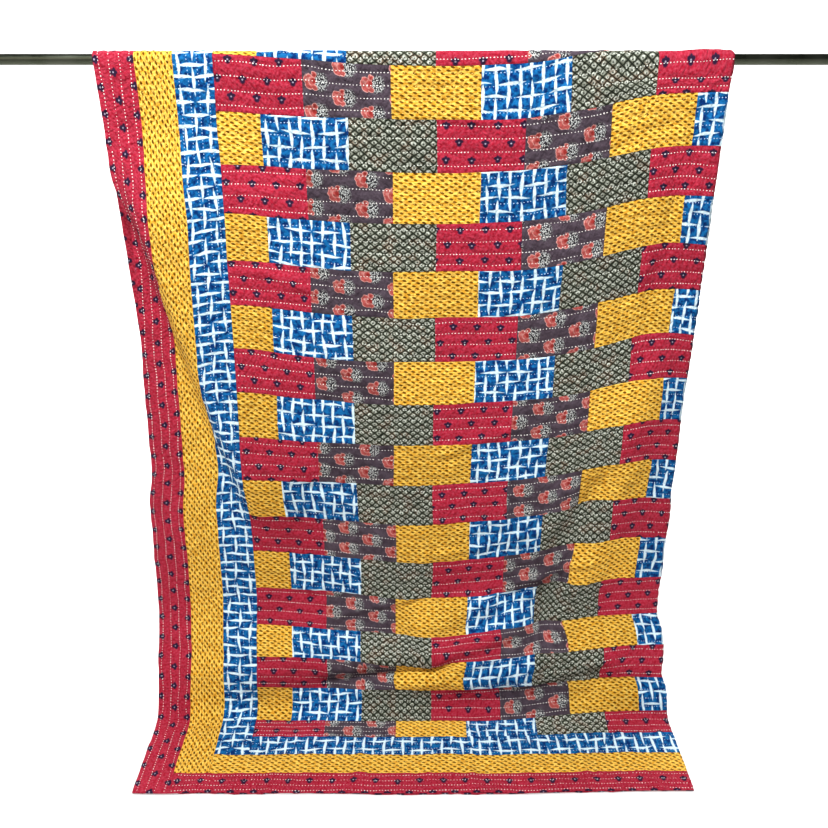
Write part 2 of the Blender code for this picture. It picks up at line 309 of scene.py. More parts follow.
xTable = acrossTable()


def hungMiddle(across, along):
    # the middle of the folded quilt: the path's place, raised by the relief square to the path
    path = hang["crest"] - along
    nearRod = 1.0 - stepFrom(path, hang["rodReach"])
    overRod = fullSlip(across, path) * nearRod * (1.0 - stepFrom(-path, hang["behindReach"]))
    lain = along - overRod
    path = hang["crest"] - lain
    place = path + fullSlip(across, path) * stepFrom(path, hang["rodReach"])
    rise = relief(across, lain)
    bearing = np.interp(place, sidePath, sideTurn)
    y = -np.interp(place, sidePath, sideForward) + np.sin(bearing) * rise
    z = np.interp(place, sidePath, sideHeight) + np.cos(bearing) * rise
    lastI, lastJ = xTable.shape[0] - 1.001, xTable.shape[1] - 1.001  # just inside the table's last cell
    i, j = np.clip(across / hang["tableStep"], 0, lastI), np.clip(lain / hang["tableStep"], 0, lastJ)
    i0, j0 = i.astype(int), j.astype(int)
    u, v = i - i0, j - j0
    low = xTable[i0, j0] * (1 - v) + xTable[i0, j0 + 1] * v
    high = xTable[i0 + 1, j0] * (1 - v) + xTable[i0 + 1, j0 + 1] * v
    return np.stack([low * (1 - u) + high * u, y, z], axis=-1)


def outwardOf(across, along):
    # the cross product of the surface's two directions
    reach = 0.002
    alongAcross = hungMiddle(across + reach, along) - hungMiddle(across - reach, along)
    alongLength = hungMiddle(across, along + reach) - hungMiddle(across, along - reach)
    out = np.cross(alongAcross, alongLength)
    return out / np.linalg.norm(out, axis=-1, keepdims=True)


settled = {"onRod": 0.0018, "reach": 0.045}
wanderClouds = [cloudSource(seed) for seed in (3, 4)]
handSewn = {"wander": 0.0020, "wanderReach": 0.085, "cloudShift": 7.3}
# Where the cloth has crept in its own surface: across, row, reach across, reach along, slide, climb
creeps = (
    (0.20, 6.8, 0.13, 0.36, 0.0, 0.038),
    (0.55, 12.0, 0.27, 0.22, 0.0, -0.022),
    (1.09, 6.5, 0.12, 0.42, 0.0, 0.022),
    (1.02, 10.3, 0.09, 0.14, 0.0, 0.014),
    (0.62, 0.0, 0.30, 0.10, 0.0, -0.005),
    (0.25, 0.0, 0.15, 0.10, 0.0, 0.007),
    (0.85, 5.5, 0.30, 0.60, 0.024, 0.0),
)


def uneven(across, along):
    # hand cutting and sewing: every seam wanders a little, and the cloth has crept where it hangs
    reach, shifted = handSewn["wanderReach"], handSewn["cloudShift"]
    slide = handSewn["wander"] * cloud(wanderClouds[0], across / reach, along / reach)
    climb = handSewn["wander"] * cloud(wanderClouds[1], across / reach + shifted, along / reach)
    for centre, row, reachAcross, reachAlong, creepAcross, creepAlong in creeps:
        far = ((across - centre) / reachAcross) ** 2 + ((along - seamAlong(row)) / reachAlong) ** 2
        slide = slide + creepAcross * np.exp(-far)
        climb = climb + creepAlong * np.exp(-far)
    return across + slide, along + climb


def drape(across, along, lift):
    # carries flat points onto the hung quilt; the second layer lies behind the first, past the turn
    across, along = uneven(across, along)
    angle = np.clip((across - turnStart) / quilt["layerOffset"], 0.0, math.pi)
    beyond = np.clip(across - turnStart - turnLength, 0.0, None)
    reach = quilt["layerOffset"] + lift
    flat = np.minimum(across, turnStart) - beyond + reach * np.sin(angle)
    crease = sum(softFold(flat, along, fold) for fold in creases)
    path = hang["crest"] - along
    offset = reach * np.cos(angle) + crease * stepFrom(path, hang["creasesFrom"])
    offset = offset - settled["onRod"] * np.exp(-((path / settled["reach"]) ** 2))
    return hungMiddle(flat, along) + outwardOf(flat, along) * offset[..., None]


# Low relief of the hand quilting
quilting = {
    "linesInRow": 4,
    "linesInStrip": 4,
    "linesInHemStrip": 4,
    "furrow": 0.0017,
    "furrowWidth": 0.0050,
    "furrowRise": 0.45,
    "lineWander": 0.0024,
    "wanderSize": (0.055, 0.040),
    "pucker": 0.0019,
    "puckerSize": (0.014, 0.024),
    "puckerSlant": 0.050,
    "ripple": 0.0020,
    "rippleSize": (0.034, 0.040),
    "rippleSlant": 0.060,
    "patchySize": (0.11, 0.13),
    "patchyShares": (0.6, 0.4),
    "calmAtFold": 0.75,
    "calmAtCrest": 0.85,
    "calmReach": 0.03,
    "seamDip": 0.0008,
    "seamWidth": 0.0030,
}
puckerClouds = [cloudSource(seed) for seed in (11, 12, 13, 14)]


def lineShift(across, along):
    # how far a hand-sewn line wanders from its ruled place: the wander times smooth noise
    sizeA, sizeS = quilting["wanderSize"]
    return quilting["lineWander"] * cloud(puckerClouds[0], across / sizeA, along / sizeS)


def quiltedLift(across, along, place, spacing, first):
    # furrows along the stitch lines, short puckers across them and soft ripples
    phase = (place + lineShift(across, along) - first) / spacing
    away = np.abs(phase - np.round(phase)) * spacing
    furrow = quilting["furrow"] * (quilting["furrowRise"] - np.exp(-((away / quilting["furrowWidth"]) ** 2)))
    sizeA, sizeS = quilting["puckerSize"]
    slanted = across / sizeA + along / quilting["puckerSlant"]
    pucker = quilting["pucker"] * cloud(puckerClouds[1], slanted, along / sizeS)
    sizeA, sizeS = quilting["rippleSize"]
    slanted = across / sizeA + along / quilting["rippleSlant"]
    ripple = quilting["ripple"] * cloud(puckerClouds[2], slanted, along / sizeS)
    sizeA, sizeS = quilting["patchySize"]
    base, change = quilting["patchyShares"]
    ripple = ripple * (base + change * cloud(puckerClouds[3], across / sizeA, along / sizeS))
    nearFold = np.exp(-(((across - quilt["halfWidth"]) / quilting["calmReach"]) ** 2))
    nearCrest = np.exp(-(((along - hang["crest"]) / quilting["calmReach"]) ** 2))
    calm = (1.0 - quilting["calmAtFold"] * nearFold) * (1.0 - quilting["calmAtCrest"] * nearCrest)
    return furrow + (pucker + ripple) * calm


def outerLift(lift):
    # no dip comes through the sheet's inner face: the low part is bent softly towards a limit
    knee, room = 0.0004, 0.0009
    return np.where(lift < knee, knee - room * (1.0 - np.exp(np.minimum(lift - knee, 0.0) / room)), lift)


def edgeDip(place, edges):
    # the cloth is drawn down beside a seam
    dip = np.zeros_like(place)
    for edge in edges:
        dip = np.maximum(dip, np.exp(-(((place - edge) / quilting["seamWidth"]) ** 2)))
    return dip


# Stations: beside a seam, the closest that two may be, cells round the turn, and how much coarser behind it
seamSteps = np.array([-0.0035, -0.0016, -0.0005, 0.0, 0.0005, 0.0016, 0.0035])
closestSteps = 0.00045
turnCells = 8
behindCoarser = 1.25


def stationsBetween(breaks, cells, edges):
    # even steps from break to break, closer ones beside each edge, and an even number of cells
    stations = [np.linspace(low, high, max(1, round((high - low) / cell)) + 1)
                for low, high, cell in zip(breaks[:-1], breaks[1:], cells)]
    stations.extend(edge + seamSteps for edge in edges)
    merged = np.unique(np.round(np.concatenate(stations), 6))
    merged = merged[(merged > breaks[0] - 1e-9) & (merged < breaks[-1] + 1e-9)]
    merged = merged[np.append(True, np.diff(merged) > closestSteps)]
    merged[-1] = breaks[-1]
    if len(merged) % 2 == 0:
        widest = int(np.argmax(np.diff(merged)))
        merged = np.insert(merged, widest + 1, (merged[widest] + merged[widest + 1]) / 2)
    return merged


def acrossStations(low, high, seams, fine):
    # fine on the layer that shows, finer round the turn, coarser on the layer behind
    turnEnd = turnStart + turnLength
    marks = [low] + [m for m in (turnStart, turnEnd) if low < m < high] + [high]
    cells = []
    for start in marks[:-1]:
        if start < turnStart - 1e-6:
            cells.append(fine)
        elif start < turnEnd - 1e-6:
            cells.append(turnLength / turnCells)
        else:
            cells.append(fine * behindCoarser)
    return stationsBetween(marks, cells, [low, *seams, high])


def fillMesh(mesh, points, quadLoops, triLoops):
    # four corners to each quad, then three to each triangle, all put in as whole arrays
    loops = np.concatenate([quadLoops, triLoops])
    quadCount, triCount = len(quadLoops) // 4, len(triLoops) // 3
    starts = np.concatenate([np.arange(quadCount) * 4, quadCount * 4 + np.arange(triCount) * 3])
    mesh.vertices.add(len(points))
    mesh.vertices.foreach_set("co", points.astype(np.float32).ravel())
    mesh.loops.add(len(loops))
    mesh.loops.foreach_set("vertex_index", loops.astype(np.int32))
    mesh.polygons.add(len(starts))
    mesh.polygons.foreach_set("loop_start", starts.astype(np.int32))
    mesh.update(calc_edges=True)
    return loops, starts


def slabMesh(name, across, along, liftOf, materials, printOf, tones, alongFirst):
    # a closed sheet: the outer face on every station, the inner face on every second one, walls between
    a, s = np.meshgrid(across, along, indexing="ij")
    outer = drape(a, s, liftOf(a, s))
    inner = drape(a[::2, ::2], s[::2, ::2], np.full(a[::2, ::2].shape, -quilt["thickness"] / 2))
    n, m = a.shape
    p, q = inner.shape[:2]
    points = np.concatenate([outer.reshape(-1, 3), inner.reshape(-1, 3)])
    outerIds = np.arange(n * m).reshape(n, m)
    innerIds = n * m + np.arange(p * q).reshape(p, q)
    quadsOut = np.stack([outerIds[:-1, :-1], outerIds[1:, :-1], outerIds[1:, 1:], outerIds[:-1, 1:]], axis=-1)
    quadsIn = np.stack([innerIds[:-1, :-1], innerIds[:-1, 1:], innerIds[1:, 1:], innerIds[1:, :-1]], axis=-1)
    rimOut = np.concatenate([outerIds[:, 0], outerIds[-1, 1:], outerIds[-2::-1, -1], outerIds[0, -2:0:-1]])
    rimIn = np.concatenate([innerIds[:, 0], innerIds[-1, 1:], innerIds[-2::-1, -1], innerIds[0, -2:0:-1]])
    nextIn = np.roll(rimIn, -1)
    start, middle, end = rimOut[::2], rimOut[1::2], np.roll(rimOut, -2)[::2]
    walls = np.concatenate([
        np.stack([end, middle, nextIn], axis=-1),
        np.stack([middle, rimIn, nextIn], axis=-1),
        np.stack([middle, start, rimIn], axis=-1),
    ])
    quads = np.concatenate([quadsOut.reshape(-1, 4), quadsIn.reshape(-1, 4)])
    mesh = bpy.data.meshes.new(name)
    loops, starts = fillMesh(mesh, points, quads.ravel(), walls.ravel())

    # which print and which patch each face belongs to, then the cloth's own coordinates
    flatA = np.concatenate([a.ravel(), a[::2, ::2].ravel()])
    flatS = np.concatenate([s.ravel(), s[::2, ::2].ravel()])
    sizes = np.concatenate([np.full(len(quads), 4), np.full(len(walls), 3)])
    faceOf = np.repeat(np.arange(len(starts)), sizes)
    centreA = np.bincount(faceOf, flatA[loops]) / sizes
    printIndex, patch = printOf(centreA)
    for material in materials:
        mesh.materials.append(material)
    mesh.polygons.foreach_set("material_index", printIndex.astype(np.int32))
    shiftA, shiftS, tone = tones(patch)
    layer = mesh.uv_layers.new(name="cloth")
    u, v = flatA[loops] + shiftA[faceOf], flatS[loops] + shiftS[faceOf]
    pairs = np.stack([v, u] if alongFirst else [u, v], axis=-1)
    layer.data.foreach_set("uv", pairs.astype(np.float32).ravel())
    toneLayer = mesh.attributes.new("tone", "FLOAT", "FACE")
    toneLayer.data.foreach_set("value", tone.astype(np.float32))
    mesh.validate()
    mesh.shade_smooth()
    return added(name, mesh)


# Small tools for the materials' node trees
def newMaterial(name):
    material = bpy.data.materials.new(name)
    material.use_nodes = True
    return material, material.node_tree, material.node_tree.nodes["Principled BSDF"]


def feed(tree, sockets, values):
    # each socket gets a number, a colour or a link
    for socket, value in zip(sockets, values):
        if isinstance(value, tuple):
            socket.default_value = (*value, 1.0)
        elif isinstance(value, (int, float)):
            socket.default_value = value
        else:
            tree.links.new(value, socket)


def calc(tree, operation, *inputs):
    # one step of arithmetic on numbers or links
    node = tree.nodes.new("ShaderNodeMath")
    node.operation = operation
    feed(tree, node.inputs, inputs)
    return node.outputs[0]


def joined(tree, x, y):
    node = tree.nodes.new("ShaderNodeCombineXYZ")
    feed(tree, node.inputs, (x, y))
    return node.outputs[0]


def separated(tree, vector):
    node = tree.nodes.new("ShaderNodeSeparateXYZ")
    tree.links.new(vector, node.inputs[0])
    return node.outputs


def bumped(tree, shader, height, strength, depth):
    bump = tree.nodes.new("ShaderNodeBump")
    bump.inputs["Strength"].default_value = strength
    bump.inputs["Distance"].default_value = depth
    tree.links.new(height, bump.inputs["Height"])
    tree.links.new(bump.outputs["Normal"], shader.inputs["Normal"])


def within(tree, distance, edge, blur):
    # 1 inside the edge and 0 outside it, with a soft border
    node = tree.nodes.new("ShaderNodeMapRange")
    node.interpolation_type = "SMOOTHSTEP"
    tree.links.new(distance, node.inputs["Value"])
    node.inputs["From Min"].default_value = edge - blur
    node.inputs["From Max"].default_value = edge + blur
    node.inputs["To Min"].default_value = 1.0
    node.inputs["To Max"].default_value = 0.0
    return node.outputs["Result"]


def spot(tree, x, y, centre, radii, blur=0.25):
    # an ellipse round a centre, its distance in shares of its radii
    across = calc(tree, "DIVIDE", calc(tree, "SUBTRACT", x, centre[0]), radii[0])
    upward = calc(tree, "DIVIDE", calc(tree, "SUBTRACT", y, centre[1]), radii[1])
    length = tree.nodes.new("ShaderNodeVectorMath")
    length.operation = "LENGTH"
    tree.links.new(joined(tree, across, upward), length.inputs[0])
    return within(tree, length.outputs["Value"], 1.0, blur)


def mixed(tree, factor, first, second):
    # from the first colour to the second one by the factor
    node = tree.nodes.new("ShaderNodeMix")
    node.data_type = "RGBA"
    feed(tree, (node.inputs["Factor"], node.inputs[6], node.inputs[7]), (factor, first, second))
    return node.outputs[2]


def clouds(tree, x, y, size, detail=2.0):
    # noise over the cloth with features of the given size in metres
    node = tree.nodes.new("ShaderNodeTexNoise")
    node.noise_dimensions = "2D"
    node.inputs["Scale"].default_value = 1.0 / size
    node.inputs["Detail"].default_value = detail
    tree.links.new(joined(tree, x, y), node.inputs["Vector"])
    return node.outputs["Fac"]


def chance(tree, x, y):
    # three even random numbers for each whole x and y
    node = tree.nodes.new("ShaderNodeTexWhiteNoise")
    node.noise_dimensions = "2D"
    tree.links.new(joined(tree, x, y), node.inputs["Vector"])
    return separated(tree, node.outputs["Color"])


def repeats(tree, x, y, pitchX, pitchY, stagger=0.5):
    # the place inside each repeat, measured from its middle, and the numbers of its column and row
    row = calc(tree, "FLOOR", calc(tree, "DIVIDE", y, pitchY))
    odd = calc(tree, "FLOORED_MODULO", row, 2.0)
    moved = calc(tree, "MULTIPLY_ADD", odd, stagger * pitchX, x)
    column = calc(tree, "FLOOR", calc(tree, "DIVIDE", moved, pitchX))
    localX = calc(tree, "SUBTRACT", moved, calc(tree, "MULTIPLY_ADD", column, pitchX, pitchX / 2))
    localY = calc(tree, "SUBTRACT", y, calc(tree, "MULTIPLY_ADD", row, pitchY, pitchY / 2))
    return localX, localY, column, row


def swing(tree, share, amount):
    # a share from 0 to 1 as an offset to both sides
    return calc(tree, "MULTIPLY", calc(tree, "SUBTRACT", share, 0.5), amount)


def jittered(tree, x, y, random, amounts):
    # each repeat is printed a little off its place
    moved = calc(tree, "ADD", x, swing(tree, random[0], amounts[0]))
    return moved, calc(tree, "ADD", y, swing(tree, random[1], amounts[1]))


def wobbled(tree, u, v, size, amount):
    # slow changes of the cloth's two coordinates, opposite ways
    shift = swing(tree, clouds(tree, u, v, size), amount)
    return calc(tree, "ADD", u, shift), calc(tree, "SUBTRACT", v, shift)


def stroke(tree, along, side, halfLength, halfWidth, blur, fullness):
    # a brush stroke, widest in the middle and drawn out to a point at both ends
    share = calc(tree, "DIVIDE", calc(tree, "ABSOLUTE", along), halfLength)
    taper = calc(tree, "SUBTRACT", 1.0, calc(tree, "POWER", calc(tree, "MINIMUM", share, 1.0), fullness))
    over = calc(tree, "SUBTRACT", calc(tree, "ABSOLUTE", side), calc(tree, "MULTIPLY", taper, halfWidth))
    inside = within(tree, over, 0.0, blur)
    return calc(tree, "MULTIPLY", inside, within(tree, share, 1.0, 0.04))


# Red cotton with sprinkled buds, each bud a few round lobes given as centre and radii
redCotton = {"ground": (0.322, 0.008, 0.026), "worn": (0.436, 0.050, 0.084), "bud": (0.032, 0.014, 0.040),
             "budHeart": (0.30, 0.26, 0.32), "pitch": (0.0465, 0.0305), "jitter": (0.003, 0.003),
             "wearSize": 0.0050, "wearEdge": (0.50, 0.30), "budBlur": 0.35,
             "heart": ((0.0, -0.0002), (0.0017, 0.0015))}
budLobes = (((-0.0038, 0.0019), (0.0040, 0.0030)), ((0.0038, 0.0019), (0.0040, 0.0030)),
            ((0.0, -0.0027), (0.0048, 0.0046)), ((0.0, 0.0043), (0.0026, 0.0030)))


def redPrint(tree, u, v):
    x, y, column, row = repeats(tree, u, v, *redCotton["pitch"])
    x, y = jittered(tree, x, y, chance(tree, column, row), redCotton["jitter"])
    wear = within(tree, clouds(tree, u, v, redCotton["wearSize"], 3.0), *redCotton["wearEdge"])
    colour = mixed(tree, wear, redCotton["ground"], redCotton["worn"])
    for centre, radii in budLobes:
        colour = mixed(tree, spot(tree, x, y, centre, radii, redCotton["budBlur"]), colour, redCotton["bud"])
    return mixed(tree, spot(tree, x, y, *redCotton["heart"]), colour, redCotton["budHeart"])


# Yellow cotton with rows of slanted dashes
yellowCotton = {"ground": (0.650, 0.318, 0.030), "pale": (0.860, 0.570, 0.125), "mark": (0.120, 0.048, 0.001),
                "pitch": (0.0165, 0.0056), "jitter": (0.0022, 0.0009), "slant": 0.20,
                "dash": (0.0044, 0.0021), "dashBlur": 0.0005, "dashFullness": 2.0,
                "dashStrength": (0.15, 0.85),
                "streakStretch": 0.35, "streakSize": 0.0034, "streakEdge": (0.49, 0.16)}


def yellowPrint(tree, u, v):
    look = yellowCotton
    x, y, column, row = repeats(tree, u, v, *look["pitch"])
    random = chance(tree, column, row)
    x, y = jittered(tree, x, y, random, look["jitter"])
    slanted = calc(tree, "MULTIPLY_ADD", x, look["slant"], y)
    mark = stroke(tree, x, slanted, *look["dash"], look["dashBlur"], look["dashFullness"])
    strength = calc(tree, "MULTIPLY_ADD", random[2], *look["dashStrength"])
    stretched = calc(tree, "MULTIPLY", u, look["streakStretch"])
    streaks = within(tree, clouds(tree, stretched, v, look["streakSize"]), *look["streakEdge"])
    ground = mixed(tree, streaks, look["ground"], look["pale"])
    return mixed(tree, calc(tree, "MULTIPLY", mark, strength), ground, look["mark"])


# Blue cotton brushed with short pale strokes, along and across, staggered like basketwork
blueCotton = {"ground": (0.002, 0.030, 0.135), "lighter": (0.010, 0.135, 0.330), "paint": (0.66, 0.79, 0.85),
              "rows": (0.061, 0.0240), "columns": (0.055, 0.0214), "rowsBlunt": 1.3, "columnsBlunt": 2.2,
              "wobble": (0.05, 0.008), "jitter": (0.009, 0.004), "tilt": 0.18, "stroke": (0.0265, 0.0030),
              "strokeBlur": 0.0011, "washSize": 0.009, "washEdge": (0.52, 0.15)}


def bluePrint(tree, u, v):
    look = blueCotton
    u2, v2 = wobbled(tree, u, v, *look["wobble"])
    masks = []
    for first, second, way in ((u2, v2, "rows"), (v2, u2, "columns")):
        x, y, column, row = repeats(tree, first, second, *look[way])
        random = chance(tree, column, row)
        x, y = jittered(tree, x, y, random, look["jitter"])
        slanted = calc(tree, "MULTIPLY_ADD", x, swing(tree, random[2], look["tilt"]), y)
        masks.append(stroke(tree, x, slanted, *look["stroke"], look["strokeBlur"], look[way + "Blunt"]))
    wash = within(tree, clouds(tree, u, v, look["washSize"], 4.0), *look["washEdge"])
    ground = mixed(tree, wash, look["ground"], look["lighter"])
    return mixed(tree, calc(tree, "MAXIMUM", *masks), ground, look["paint"])


# Olive cotton with a slanting dark lattice round pale rings; a ring and its heart as centre and radii
oliveCotton = {"ground": (0.105, 0.108, 0.078), "brown": (0.200, 0.110, 0.070),
               "lattice": (0.006, 0.009, 0.006), "ringInk": (0.64, 0.65, 0.57),
               "pitch": (0.0177, 0.0141), "wobble": (0.009, 0.0042),
               "latticeEdge": (0.41, 0.06), "latticeShare": 0.93,
               "ring": ((0.02, -0.02), (0.34, 0.34), 0.22), "ringStrength": (0.78, 0.17),
               "heart": ((-0.05, 0.05), (0.14, 0.14), 0.4), "heartShare": 0.85,
               "stainSize": 0.028, "stainEdge": (0.42, 0.10), "stainShare": 0.5,
               "patchySize": 0.0048, "patchyEdge": (0.46, 0.26)}


def olivePrint(tree, u, v):
    look = oliveCotton
    moved = wobbled(tree, u, v, *look["wobble"])
    across, upward = (calc(tree, "DIVIDE", value, pitch) for value, pitch in zip(moved, look["pitch"]))
    first = calc(tree, "SUBTRACT", calc(tree, "FRACT", calc(tree, "ADD", across, upward)), 0.5)
    second = calc(tree, "SUBTRACT", calc(tree, "FRACT", calc(tree, "SUBTRACT", across, upward)), 0.5)
    edge = calc(tree, "MAXIMUM", calc(tree, "ABSOLUTE", first), calc(tree, "ABSOLUTE", second))
    lattice = calc(tree, "SUBTRACT", 1.0, within(tree, edge, *look["latticeEdge"]))
    ring = spot(tree, first, second, *look["ring"])
    heart = spot(tree, first, second, *look["heart"])
    stain = within(tree, clouds(tree, u, v, look["stainSize"]), *look["stainEdge"])
    ground = mixed(tree, calc(tree, "MULTIPLY", stain, look["stainShare"]), look["ground"], look["brown"])
    patchy = within(tree, clouds(tree, u, v, look["patchySize"], 1.0), *look["patchyEdge"])
    strength = calc(tree, "MULTIPLY", ring, calc(tree, "MULTIPLY_ADD", patchy, *look["ringStrength"]))
    colour = mixed(tree, strength, ground, look["ringInk"])
    colour = mixed(tree, calc(tree, "MULTIPLY", heart, look["heartShare"]), colour, look["lattice"])
    return mixed(tree, calc(tree, "MULTIPLY", lattice, look["latticeShare"]), colour, look["lattice"])


# Dark floral cotton: blooms seen from the side, each with a speckled sprig beside it
floralCotton = {"ground": (0.040, 0.026, 0.035), "ground2": (0.112, 0.084, 0.104),
                "petal": (0.370, 0.082, 0.074), "rim": (0.58, 0.29, 0.26),
                "heart": (0.24, 0.018, 0.015), "leaf": (0.50, 0.50, 0.48),
                "shade": (0.014, 0.015, 0.017), "pitch": (0.103, 0.053), "jitter": (0.004, 0.003),
                "groundSize": 0.02, "wobble": (0.006, 0.0050), "speckle": 0.0040, "speckleSlant": 0.55,
                "speckleEdge": (0.36, 0.12), "sprig": ((0.0165, -0.0005), (0.0125, 0.0150), 0.35),
                "sprigShade": 0.75, "rimWidth": 0.0012, "lobeBlur": 0.10}
# The bloom's round lobes as centre and radii, then what is printed over them with blur, ink and share
floralLobes = ((-0.0046, 0.0024, 0.0090, 0.0100), (-0.0020, -0.0060, 0.0092, 0.0080),
               (0.0054, 0.0104, 0.0052, 0.0056), (0.0058, -0.0104, 0.0050, 0.0048))
floralDetails = (
    ((0.0013, 0.0), (0.0066, 0.0074), 0.14, "rim", 0.75),
    ((0.0022, 0.0), (0.0057, 0.0063), 0.16, "petal", 1.0),
    ((0.0044, 0.0008), (0.0036, 0.0040), 0.35, "heart", 0.8),
    ((0.0055, 0.0104), (0.0022, 0.0022), 0.45, "heart", 0.7),
    ((-0.0068, 0.0034), (0.0026, 0.0030), 0.55, "rim", 0.5),
)


def floralPrint(tree, u, v):
    look = floralCotton
    colour = mixed(tree, clouds(tree, u, v, look["groundSize"]), look["ground"], look["ground2"])
    wobbleSize, wobbleAmount = look["wobble"]
    wobble = swing(tree, clouds(tree, u, v, wobbleSize), wobbleAmount)
    speckle = tree.nodes.new("ShaderNodeTexVoronoi")
    speckle.voronoi_dimensions = "2D"
    speckle.inputs["Scale"].default_value = 1.0 / look["speckle"]
    slantU = calc(tree, "MULTIPLY_ADD", v, look["speckleSlant"], u)
    tree.links.new(joined(tree, slantU, calc(tree, "SUBTRACT", v, u)), speckle.inputs["Vector"])
    leaves = within(tree, speckle.outputs["Distance"], *look["speckleEdge"])
    for shift in (0.0, 0.5):
        movedU = calc(tree, "ADD", u, shift * look["pitch"][0])
        movedV = calc(tree, "ADD", v, shift * look["pitch"][1])
        x, y, column, row = repeats(tree, movedU, movedV, *look["pitch"], stagger=0.0)
        x, y = jittered(tree, x, y, chance(tree, column, row), look["jitter"])
        x, y = calc(tree, "ADD", x, wobble), calc(tree, "SUBTRACT", y, wobble)
        sprig = spot(tree, x, y, *look["sprig"])
        colour = mixed(tree, calc(tree, "MULTIPLY", sprig, look["sprigShade"]), colour, look["shade"])
        colour = mixed(tree, calc(tree, "MULTIPLY", sprig, leaves), colour, look["leaf"])
        for shrink, ink in ((0.0, "rim"), (look["rimWidth"], "petal")):
            for lobeX, lobeY, wide, tall in floralLobes:
                lobe = spot(tree, x, y, (lobeX, lobeY), (wide - shrink, tall - shrink), look["lobeBlur"])
                colour = mixed(tree, lobe, colour, look[ink])
        for centre, radii, blur, ink, share in floralDetails:
            mask = calc(tree, "MULTIPLY", spot(tree, x, y, centre, radii, blur), share)
            colour = mixed(tree, mask, colour, look[ink])
    return colour


# Matt cotton; sizes and depths in metres, and wrinkles as turn, stretch, size and height
cottonLook = {"mottle": (0.0022, 3.0), "mottleShares": (0.40, 0.80),
              "fadeSize": 0.07, "fadeShares": (0.24, 0.88), "yarn": 0.0009, "yarnHeight": 0.06,
              "crumple": (0.0065, 3.0), "crumpleHeight": 4.0,
              "wrinkles": ((-0.72, 0.28, 0.010, 5.5), (1.15, 0.30, 0.014, 6.5)), "wrinklePower": 0.7,
              "bump": (1.0, 0.0006), "roughness": 0.92, "specular": 0.08,
              "sheen": 0.03, "sheenRoughness": 0.6}


def cottonMaterial(name, printFunction):
    # a print on matt cotton: the patch's own tone, thread-fine mottling, weave and wrinkles
    look = cottonLook
    material, tree, shader = newMaterial(name)
    clothMap = tree.nodes.new("ShaderNodeUVMap")
    clothMap.uv_map = "cloth"
    u, v, _ = separated(tree, clothMap.outputs["UV"])
    colour = printFunction(tree, u, v)
    tone = tree.nodes.new("ShaderNodeAttribute")
    tone.attribute_name = "tone"
    mottle = calc(tree, "MULTIPLY_ADD", clouds(tree, u, v, *look["mottle"]), *look["mottleShares"])
    fade = calc(tree, "MULTIPLY_ADD", clouds(tree, u, v, look["fadeSize"]), *look["fadeShares"])
    shade = calc(tree, "MULTIPLY", calc(tree, "MULTIPLY", mottle, fade), tone.outputs["Fac"])
    scale = tree.nodes.new("ShaderNodeVectorMath")
    scale.operation = "SCALE"
    tree.links.new(colour, scale.inputs[0])
    tree.links.new(shade, scale.inputs["Scale"])
    tree.links.new(scale.outputs[0], shader.inputs["Base Color"])
    warp = calc(tree, "SINE", calc(tree, "MULTIPLY", u, 2 * math.pi / look["yarn"]))
    weft = calc(tree, "SINE", calc(tree, "MULTIPLY", v, 2 * math.pi / look["yarn"]))
    weave = calc(tree, "MULTIPLY", warp, weft)
    wrinkle = calc(tree, "MULTIPLY", clouds(tree, u, v, *look["crumple"]), look["crumpleHeight"])
    for turn, stretch, size, depth in look["wrinkles"]:
        lengthwise = calc(tree, "ADD", calc(tree, "MULTIPLY", u, math.cos(turn) * stretch),
                          calc(tree, "MULTIPLY", v, math.sin(turn) * stretch))
        sideways = calc(tree, "SUBTRACT", calc(tree, "MULTIPLY", v, math.cos(turn)),
                        calc(tree, "MULTIPLY", u, math.sin(turn)))
        fold = calc(tree, "ABSOLUTE", calc(tree, "SUBTRACT", clouds(tree, lengthwise, sideways, size), 0.5))
        wrinkle = calc(tree, "MULTIPLY_ADD", calc(tree, "POWER", fold, look["wrinklePower"]), depth, wrinkle)
    height = calc(tree, "MULTIPLY_ADD", weave, look["yarnHeight"], wrinkle)
    bumped(tree, shader, height, *look["bump"])
    shader.inputs["Roughness"].default_value = look["roughness"]
    shader.inputs["Specular IOR Level"].default_value = look["specular"]
    shader.inputs["Sheen Weight"].default_value = look["sheen"]
    shader.inputs["Sheen Roughness"].default_value = look["sheenRoughness"]
    return material


prints = {
    "red": cottonMaterial("redBudCotton", redPrint),
    "floral": cottonMaterial("floralCotton", floralPrint),
    "yellow": cottonMaterial("yellowDashCotton", yellowPrint),
    "blue": cottonMaterial("blueBrushCotton", bluePrint),
    "olive": cottonMaterial("oliveLatticeCotton", olivePrint),
}
printOrder = ("red", "floral", "yellow", "blue", "olive")
print("made the prints")


def toneTable(seed, count, toneSpread):
    # each patch is cut from another place of its print, up to a width away, a little lighter or darker
    clothWidth = 0.9
    random = np.random.default_rng(seed).uniform(0.0, 1.0, (count, 3))
    shifts = random[:, :2] * clothWidth
    tones = 1.0 - toneSpread / 2 + toneSpread * random[:, 2]
    return lambda patch: (shifts[patch, 0], shifts[patch, 1], tones[patch])


# Running stitches: small threads that rise out of the cloth and go down into it again
stitchLook = {"pitch": 0.0062, "halfLength": 0.0026, "halfWidth": 0.00125, "height": 0.00085, "sunk": 0.0004,
              "clear": 0.0001, "missing": 0.02, "thick": 0.05, "thicker": 1.6, "seed": 91,
              "slip": 0.0007, "lengths": (0.72, 1.15), "widths": (0.85, 1.15)}
stitchRandom = np.random.default_rng(stitchLook["seed"])
sewn = {"Front": [], "Behind": []}


